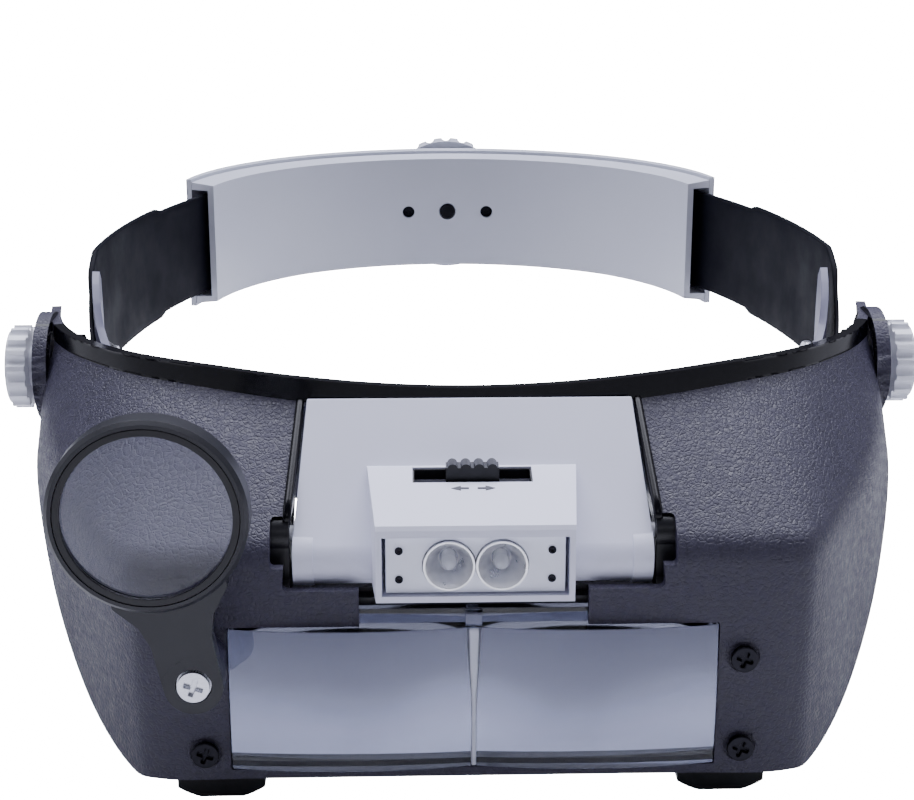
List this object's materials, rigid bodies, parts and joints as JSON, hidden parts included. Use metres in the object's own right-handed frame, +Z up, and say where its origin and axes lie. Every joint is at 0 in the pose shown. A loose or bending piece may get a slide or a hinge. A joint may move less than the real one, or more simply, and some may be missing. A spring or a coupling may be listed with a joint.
{
  "type": "head visor magnifier",
  "caption": "Headband magnifier: a tilting visor with a long twin-panel lens, a flip-up inner lens, a swing-out round loupe, a battery lamp above and a rear size knob.",
  "frame": {"origin": "centre of the head opening at the mid height of the straps", "axes": "+Z up, -Y the front that the wearer looks toward, +X to the right seen from the front"},
  "size_m": [0.1978, 0.258, 0.1001],
  "materials": {
    "shell_plastic": "grained",
    "black_plastic": "satin",
    "strap_plastic": "satin",
    "pad_foam": "soft",
    "grey_plastic": "smooth",
    "knob_plastic": "smooth",
    "clear_lens": "polished",
    "white_plastic": "smooth",
    "reflector_chrome": "polished",
    "led_resin": "polished",
    "steel": "plated",
    "dark_steel": "blackened",
    "cell_sleeve": "printed sleeve",
    "board": "lacquered"
  },
  "bodies": {
    "headband": {"forehead_band": "strap_plastic", "forehead_pad": "pad_foam", "strap_left": "strap_plastic", "strap_right": "strap_plastic", "temple_bolts": "steel", "temple_spacers": "black_plastic"},
    "knob_left": {"knob_left": "knob_plastic"},
    "knob_right": {"knob_right": "knob_plastic"},
    "rear_adjuster": {"rear_cover_inner": "grey_plastic", "rear_cover_outer": "grey_plastic", "cover_screws": "steel"},
    "size_knob": {"rear_knob": "grey_plastic", "pinion": "white_plastic", "knob_axle": "dark_steel"},
    "visor": {"visor_shell": "shell_plastic", "lens_retainer": "black_plastic", "main_lens": "clear_lens", "shell_screws": "dark_steel", "lamp_brackets": "black_plastic", "hinge_pins": "steel", "loupe_screw": "steel"},
    "inner_lens": {"inner_lens_frame": "black_plastic", "inner_lens": "clear_lens"},
    "lamp": {"lamp_housing": "grey_plastic", "lamp_cover": "grey_plastic", "battery_door": "grey_plastic", "battery_cells": "cell_sleeve", "battery_contacts": "steel", "lamp_pins": "white_plastic", "slider_board": "board"},
    "pan_slider": {"pan_slider": "black_plastic"},
    "light_head": {"led_carrier": "white_plastic", "led_reflector": "reflector_chrome", "leds": "led_resin", "carrier_screws": "steel"},
    "loupe": {"loupe_frame": "black_plastic", "loupe_lens": "clear_lens", "loupe_retainer": "black_plastic", "loupe_washer": "steel"}
  },
  "joints": [
    {"name": "visor_tilt", "type": "hinge", "parent": "headband", "child": "visor", "pos_m": [0, -0.042, -0.0085], "axis": [-1, 0, 0], "range_deg": [0, 50]},
    {"name": "knob_left_turn", "type": "hinge", "parent": "headband", "child": "knob_left", "pos_m": [-0.096, -0.042, -0.0085], "axis": [-1, 0, 0], "continuous": true},
    {"name": "knob_right_turn", "type": "hinge", "parent": "headband", "child": "knob_right", "pos_m": [0.096, -0.042, -0.0085], "axis": [1, 0, 0], "continuous": true},
    {"name": "band_size", "type": "slide", "parent": "headband", "child": "rear_adjuster", "axis": [0, 1, 0], "range_m": [0, 0.01], "deforming": ["strap_left", "strap_right"]},
    {"name": "size_knob_turn", "type": "hinge", "parent": "rear_adjuster", "child": "size_knob", "pos_m": [0, 0.12, 0], "axis": [0, 1, 0], "range_deg": [0, 105]},
    {"name": "lamp_tilt", "type": "hinge", "parent": "visor", "child": "lamp", "pos_m": [0, -0.104, -0.025], "axis": [1, 0, 0], "range_deg": [0, 25]},
    {"name": "pan_slide", "type": "slide", "parent": "lamp", "child": "pan_slider", "axis": [1, 0, 0], "range_m": [-0.0027, 0.0027]},
    {"name": "light_pan", "type": "hinge", "parent": "lamp", "child": "light_head", "pos_m": [0, -0.115, -0.026], "axis": [0, 0, 1], "range_deg": [-11, 11]},
    {"name": "inner_lens_flip", "type": "hinge", "parent": "visor", "child": "inner_lens", "pos_m": [0, -0.1005, -0.0375], "axis": [1, 0, 0], "range_deg": [0, 60]},
    {"name": "loupe_swing", "type": "hinge", "parent": "visor", "child": "loupe", "pos_m": [-0.051, -0.122, -0.0465], "axis": [0, 1, 0], "range_deg": [0, 115]}
  ],
  "couplings": [
    {"joint": "size_knob_turn", "follows": "band_size", "rad_per_m": 181.82},
    {"joint": "light_pan", "follows": "pan_slide", "rad_per_m": -69.444}
  ]
}
